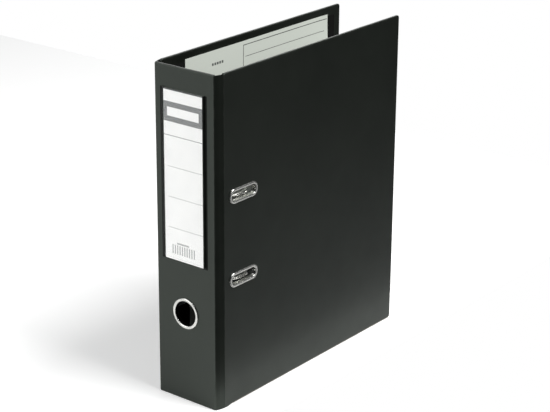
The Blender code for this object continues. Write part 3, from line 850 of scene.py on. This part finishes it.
# ---- index sheet ------------------------------------------------------------------
def index_sheet():
    """A4 sheet punched on the posts, lying back against the lining away from the plate."""
    low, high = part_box("index_sheet")
    plate_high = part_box("base_plate")[1]
    clear = low.x - INNER_X
    flat_from = plate_high.y + 6 * MM
    flat_over = 34 * MM
    lying = 0.5 * MM                       # height of the sheet where it lies on the lining
    lowest = 0.35 * MM
    bow = 5.5 * MM
    curl = 0.8 * MM

    def place(y, z, depth):
        from_plate = smooth((y - flat_from) / flat_over)
        above = smooth((z - plate_high.z - 4 * MM) / (30 * MM))
        fall = max(from_plate, above)
        height = clear + (lying - clear) * fall
        side = smooth((y - low.y - 150 * MM) / (60 * MM))
        middle = smooth((high.z - z) / (120 * MM)) * smooth((z - low.z) / (60 * MM))
        height += side * middle * bow
        height += (wave((y, 2.0, z), 90 * MM, 0.5 * MM) + 0.2 * MM) * fall
        edge = smooth((y - high.y + 14 * MM) / (14 * MM))
        height += edge * curl * smooth((z - low.z) / (80 * MM))
        return Vector((INNER_X + max(height, lowest) + (PAPER - depth), y, z))

    left = low.y + 81 * MM
    right = high.y - 1.2 * MM
    top = high.z - 3.6 * MM
    thin = 0.8 * MM
    rules = [top - number * 11.4 * MM for number in range(1, 23)]
    rule_thin = 0.7 * thin
    rule_from, rule_to = left + 3.3 * MM, right - 4 * MM
    head_end, side_end = top - thin, rules[-1] - thin
    block_low, block_high = high.z - 14.2 * MM, high.z - 11.8 * MM
    blocks = [low.y + 36.5 * MM + number * 3.4 * MM for number in range(5)]
    block = 2.3 * MM
    zs = [top, head_end, side_end, block_low, block_high]
    for rule in rules:
        zs += [rule, rule - rule_thin]
    ys = [left, left + thin, right, rule_from, rule_to]
    for first in blocks:
        ys += [first, first + block]

    def ink(y, z):
        on_head = left < y < right and head_end < z < top
        on_side = side_end < z < top and left < y < left + thin
        on_rule = rule_from < y < rule_to and any(rule - rule_thin < z < rule for rule in rules)
        on_block = block_low < z < block_high and any(at < y < at + block for at in blocks)
        return int(on_head or on_side or on_rule or on_block), 0

    ys, zs = lines(low.y, high.y, 60, ys), lines(low.z, high.z, 60, zs)
    mesh = panel(ys, zs, place, PAPER, ink)
    obj = piece("index_leaf", mesh, PAPER_MAT, PAPER_INK)
    for side in SIDES:
        hole = circle(face_of("post_" + side)[1], 3 * MM, 32)
        punch(obj, hole, on_x, INNER_X, INNER_X + 10 * MM)
    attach(obj, "back_cover")
    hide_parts("index_sheet")


# ---- mechanism --------------------------------------------------------------------
def base_plate():
    """Pressed steel plate with a raised lip and pierced for its rivets."""
    low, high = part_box("base_plate")
    half, centre = face_of("base_plate")
    thick = high.x - low.x
    rim = [(0.3, 0.0), (0.05, 0.1), (0.0, 0.3), (0.0, 0.75), (0.08, 0.93), (0.3, 1.0), (1.0, 1.0)]
    pan = [(1.35, 0.93), (1.6, 0.78), (2.0, 0.7), (6.0, 0.7)]
    loops = []
    for inset, share in rim + pan:
        radius = max(5 - inset, 1) * MM
        outline = rounded(half[0] - inset * MM, half[1] - inset * MM, radius, 10, centre)
        loops.append(on_x(outline, low.x + thick * share))
    obj = piece("base_plate_pressed", loft(loops), STEEL_MAT)
    for number in RIVETS:
        point = middle_of(f"base_rivet_{number}")
        hole = circle((point.y, point.z), PLATE_HOLE, 28)
        punch(obj, hole, on_x, low.x - MM, high.x + MM)
    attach(obj, "back_cover")
    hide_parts("base_plate")


def dome(radius, level, sign, height):
    """(radius, level) pairs of a low dome, from its rim to its flat top."""
    points = []
    for index in range(7):
        angle = math.radians(80 * index / 6)
        points.append((radius * math.cos(angle), level + sign * height * math.sin(angle)))
    return points


def rivets():
    """Domed heads outside the cover and smaller ones on the base plate."""
    for number in RIVETS:
        node = f"base_rivet_{number}"
        low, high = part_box(node)
        point = middle_of(node)
        radius = (high.y - low.y) / 2
        outside = BACK_LOW.x - 0.25 * MM
        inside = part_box("base_plate")[1].x + 0.05 * MM
        profile = dome(radius, outside, -1, outside - low.x)[::-1]
        profile += [(RIVET_SHANK, outside), (RIVET_SHANK, inside)]
        profile += dome(radius * 0.75, inside, 1, high.x - inside)
        obj = piece(f"rivet_{number}", turned(profile, on_x, (point.y, point.z)), STEEL_MAT)
        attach(obj, "back_cover")
        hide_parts(node)


def posts():
    """Filing posts with a rounded top and the bore that an arch's end would seat in."""
    for side in SIDES:
        node = "post_" + side
        low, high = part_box(node)
        point = middle_of(node)
        radius = (high.y - low.y) / 2
        soft = 0.7 * MM
        profile = [(radius * 0.94, low.x), (radius, low.x + 0.2 * MM)]
        for x, y in arc((high.x - soft, radius - soft), soft, 90, 0, 7):
            profile.append((y, x))
        bore = 1.3 * MM
        lead_in = 0.25 * MM
        profile += [(bore + lead_in, high.x), (bore, high.x - lead_in), (bore, high.x - 9 * MM)]
        obj = piece("post_tube_" + side, turned(profile, on_x, (point.y, point.z)), NICKEL_MAT)
        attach(obj, "back_cover")
        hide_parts(node)


def arches():
    """One bent wire: two arches joined by a run along the pivot line with a crank."""
    low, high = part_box("arch_yoke")
    post = middle_of("post_upper")
    places = {joint["name"]: joint["pos_m"] for joint in frame["joints"]}
    pivot = Vector(places["arch_hinge"])
    top = post.z - pivot.z
    crest = high.x - WIRE
    spine_side = low.y + WIRE
    crank = pivot.x + 6 * MM
    crank_half = 6 * MM
    half = [
        Vector((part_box("post_upper")[1].x + 0.3 * MM, post.y, top)),
        Vector((crest, post.y, top)),
        Vector((crest, spine_side, top)),
        Vector((INNER_X + 14 * MM, spine_side, top)),
        Vector((pivot.x, pivot.y, top)),
        Vector((pivot.x, pivot.y, crank_half)),
        Vector((crank, pivot.y, crank_half)),
        Vector((crank, pivot.y, 0)),
    ]
    radii = [9 * MM, 15 * MM, 5 * MM, 4 * MM, 2.8 * MM, 2.8 * MM]
    half = filleted(half, radii, 16)[:-1]
    path = [point + Vector((0, 0, pivot.z)) for point in half]
    path += [Vector((p.x, p.y, pivot.z - p.z)) for p in reversed(half)]
    obj = piece("arch_wire", sweep(path, WIRE), NICKEL_MAT)
    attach(obj, "arches")
    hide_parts("arch_yoke")


def roller():
    """Plastic sleeve with a shallow waist on the lever's axle."""
    low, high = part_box("lever_roller")
    point = middle_of("lever_roller")
    radius = (high.y - low.y) / 2
    soft = 0.6 * MM
    bore = 1.3 * MM
    profile = [(bore, low.z), (bore, high.z)]
    profile += [(radius - soft + y, high.z - soft + x) for y, x in arc((0, 0), soft, 90, 0, 5)]
    waist = (low.z + high.z) / 2
    waist_r = radius - 0.12 * MM
    profile += [(waist_r, waist + 1.2 * MM), (waist_r, waist - 1.2 * MM)]
    profile += [(radius - soft + y, low.z + soft + x) for y, x in arc((0, 0), soft, 0, -90, 5)]
    sleeve = turned(profile, on_z, (point.x, point.y), closed=True)
    obj = piece("roller_sleeve", sleeve, ROLLER_MAT)
    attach(obj, "roller")
    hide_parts("lever_roller")


def soften(node, width, mat):
    """Rounds the edges of a carried-over CAD piece and gives it its finish."""
    obj = NODES[node]
    obj.data.materials.clear()
    obj.data.materials.append(mat)
    weld = obj.modifiers.new("Weld", "WELD")
    weld.merge_threshold = 0.002 * MM
    bevel = obj.modifiers.new("Bevel", "BEVEL")
    bevel.width = width
    bevel.segments = 3
    bevel.limit_method = "ANGLE"
    bevel.angle_limit = math.radians(40)


def carried_over():
    for node in ("lever_bracket", "yoke_saddle_upper", "yoke_saddle_lower", "compressor_bar"):
        soften(node, 0.2 * MM, STEEL_MAT)
    for node in ("lever_pivot_pin", "roller_axle"):
        soften(node, 0.15 * MM, STEEL_MAT)
    soften("lever", 0.22 * MM, NICKEL_MAT)
    for node in ("back_cover_board", "spine_board", "front_cover_board"):
        NODES[node].data.materials.clear()
        NODES[node].data.materials.append(BOARD_MAT)


# ---- stage ------------------------------------------------------------------------
def camera():
    """Camera from its place, its aim and its slight roll."""
    place_at = Vector((0.9621, -1.2232, 0.7361))
    target = Vector((-0.0022, -0.0045, 0.1532))
    data = bpy.data.cameras.new("camera")
    data.lens = 114.52
    data.sensor_width = 36.0
    data.clip_start = 0.05
    data.clip_end = 50.0
    obj = bpy.data.objects.new("camera", data)
    bpy.context.scene.collection.objects.link(obj)
    aim = (target - place_at).to_track_quat("-Z", "Y")
    roll = Quaternion((0, 0, 1), math.radians(0.39))
    obj.location = place_at
    obj.rotation_mode = "QUATERNION"
    obj.rotation_quaternion = aim @ roll
    bpy.context.scene.camera = obj


def softbox(name, at, target, width, height, power):
    """Rectangular area light that faces its target."""
    data = bpy.data.lights.new(name, "AREA")
    data.shape = "RECTANGLE"
    data.size = width
    data.size_y = height
    data.energy = power
    obj = bpy.data.objects.new(name, data)
    bpy.context.scene.collection.objects.link(obj)
    obj.location = at
    obj.rotation_mode = "QUATERNION"
    obj.rotation_quaternion = (Vector(target) - Vector(at)).to_track_quat("-Z", "Y")


def world():
    """Faint cool fill that the camera sees as a white backdrop."""
    made = bpy.data.worlds.new("studio")
    bpy.context.scene.world = made
    made.use_nodes = True
    tree = made.node_tree
    tree.nodes.clear()
    output = tree.nodes.new("ShaderNodeOutputWorld")
    mix = tree.nodes.new("ShaderNodeMixShader")
    path = tree.nodes.new("ShaderNodeLightPath")
    fill = tree.nodes.new("ShaderNodeBackground")
    seen = tree.nodes.new("ShaderNodeBackground")
    fill.inputs["Color"].default_value = (0.9, 0.95, 1.0, 1)
    fill.inputs["Strength"].default_value = 0.06
    seen.inputs["Color"].default_value = (1, 1, 1, 1)
    seen.inputs["Strength"].default_value = 1.0
    tree.links.new(path.outputs["Is Camera Ray"], mix.inputs["Fac"])
    tree.links.new(fill.outputs[0], mix.inputs[1])
    tree.links.new(seen.outputs[0], mix.inputs[2])
    tree.links.new(mix.outputs[0], output.inputs["Surface"])


def floor_surface(name, glow):
    """Pale matt table top that gives off a little light of its own."""
    s = Surface(name, 0.8, specular=0.2)
    s.colour(s.mix(s.noise(0.2), (0.90, 0.90, 0.895), (0.92, 0.92, 0.915)))
    s.shader.inputs["Emission Color"].default_value = (1, 1, 1, 1)
    s.shader.inputs["Emission Strength"].default_value = glow
    return s.material


def floor():
    """Pale table top that glows a little, but not inside the binder; it ends near the cover."""
    bm = bmesh.new()
    table = rounded(0.80, 1.05, 0.12, 12, (-0.72, -0.40))
    inside = rounded(0.034, 0.135, 0.002, 12, (0, 0))
    outer, inner = ([bm.verts.new((x, y, 0)) for x, y in outline] for outline in (table, inside))
    for index in range(len(outer)):
        after = (index + 1) % len(outer)
        bm.faces.new((outer[index], outer[after], inner[after], inner[index]))
    bm.faces.new(inner).material_index = 1
    mesh = bpy.data.meshes.new("floor")
    bm.to_mesh(mesh)
    bm.free()
    finishes = floor_surface("pale_floor", 0.28), floor_surface("shaded_floor", 0.0)
    obj = piece("floor", mesh, *finishes)
    obj.location.z = -0.1 * MM


def lights():
    middle = (0, 0, 0.16)
    softbox("key", (-0.9, -1.6, 0.9), middle, 1.3, 1.3, 30)
    softbox("top", (0.75, 0.15, 1.35), (0, 0, 0.25), 0.8, 0.8, 30)
    softbox("fill", (-1.2, 1.5, 1.0), middle, 1.0, 1.0, 6)
    softbox("card", (1.1, 1.35, -1.05), middle, 1.4, 1.2, 2.8)


camera()
world()
floor()
lights()
front_cover()
back_cover()
spine()
hinges()
trims()
pocket()
label()
index_sheet()
base_plate()
rivets()
posts()
arches()
roller()
carried_over()
bpy.context.scene.view_settings.view_transform = "Standard"
